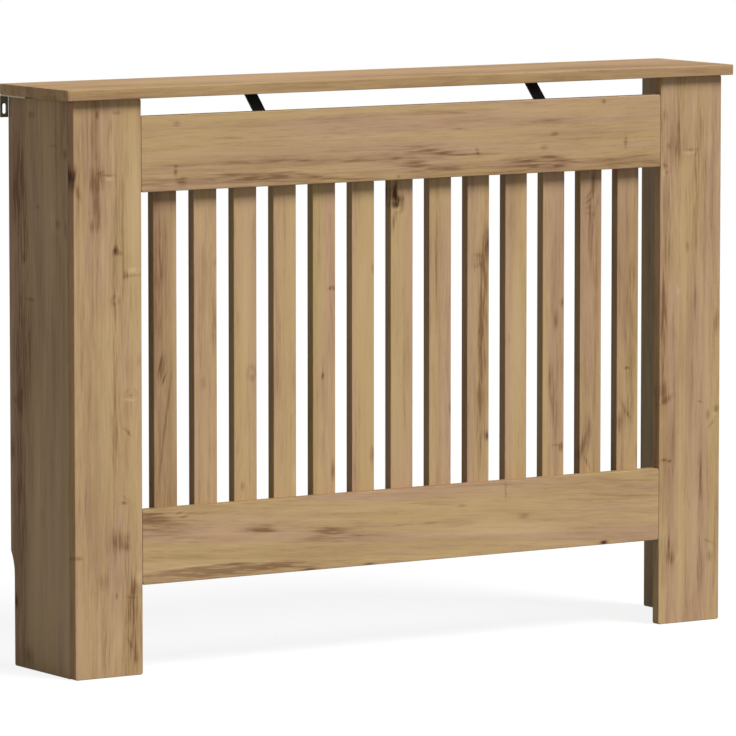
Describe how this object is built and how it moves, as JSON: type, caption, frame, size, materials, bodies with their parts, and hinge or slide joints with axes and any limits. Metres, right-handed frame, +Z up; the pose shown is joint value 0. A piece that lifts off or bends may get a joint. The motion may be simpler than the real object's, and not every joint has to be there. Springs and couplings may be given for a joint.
{
  "type": "radiator cover cabinet",
  "caption": "Radiator cover cabinet in oak-look board: overhanging top on L-shaped legs, two rails with an upright slatted grille, open back and foot, wall brackets.",
  "frame": {"origin": "on the floor, under the middle of the top panel", "axes": "+X along the wall to the right as seen from the room, +Y towards the wall, +Z up"},
  "size_m": [1.12, 0.19, 0.815],
  "materials": {
    "oak_decor": "satin oak-grain decor on board",
    "black_steel": "black satin",
    "grey_steel": "dull grey plated",
    "zinc_plate": "zinc plated",
    "beech": "bare turned beech"
  },
  "bodies": {
    "root": {"top_panel": "oak_decor", "side_panel_left": "oak_decor", "side_panel_right": "oak_decor", "leg_board_left": "oak_decor", "leg_board_right": "oak_decor", "upper_rail": "oak_decor", "lower_rail": "oak_decor", "slat_01": "oak_decor", "slat_02": "oak_decor", "slat_03": "oak_decor", "slat_04": "oak_decor", "slat_05": "oak_decor", "slat_06": "oak_decor", "slat_07": "oak_decor", "slat_08": "oak_decor", "slat_09": "oak_decor", "slat_10": "oak_decor", "slat_11": "oak_decor", "slat_12": "oak_decor", "slat_13": "oak_decor", "wall_bracket_left": "grey_steel", "wall_bracket_right": "grey_steel", "top_brace_left": "black_steel", "top_brace_right": "black_steel", "cam_lock_top_left_front": "zinc_plate", "cam_lock_top_left_rear": "zinc_plate", "cam_lock_top_right_front": "zinc_plate", "cam_lock_top_right_rear": "zinc_plate", "cam_lock_leg_left_low": "zinc_plate", "cam_lock_leg_left_high": "zinc_plate", "cam_lock_leg_right_low": "zinc_plate", "cam_lock_leg_right_high": "zinc_plate", "cam_lock_rail_upper_left": "zinc_plate", "cam_lock_rail_upper_right": "zinc_plate", "cam_lock_rail_lower_left": "zinc_plate", "cam_lock_rail_lower_right": "zinc_plate", "cam_bolt_top_left_front": "zinc_plate", "cam_bolt_top_left_rear": "zinc_plate", "cam_bolt_top_right_front": "zinc_plate", "cam_bolt_top_right_rear": "zinc_plate", "cam_bolt_leg_left_low": "zinc_plate", "cam_bolt_leg_left_high": "zinc_plate", "cam_bolt_leg_right_low": "zinc_plate", "cam_bolt_leg_right_high": "zinc_plate", "cam_bolt_rail_upper_left": "zinc_plate", "cam_bolt_rail_upper_right": "zinc_plate", "cam_bolt_rail_lower_left": "zinc_plate", "cam_bolt_rail_lower_right": "zinc_plate", "dowel_rail_upper_left": "beech", "dowel_rail_upper_right": "beech", "dowel_rail_lower_left": "beech", "dowel_rail_lower_right": "beech", "screw_wall_bracket_left_front": "zinc_plate", "screw_wall_bracket_left_rear": "zinc_plate", "screw_wall_bracket_right_front": "zinc_plate", "screw_wall_bracket_right_rear": "zinc_plate", "screw_top_brace_left_top": "zinc_plate", "screw_top_brace_left_rail": "zinc_plate", "screw_top_brace_right_top": "zinc_plate", "screw_top_brace_right_rail": "zinc_plate"}
  },
  "joints": []
}
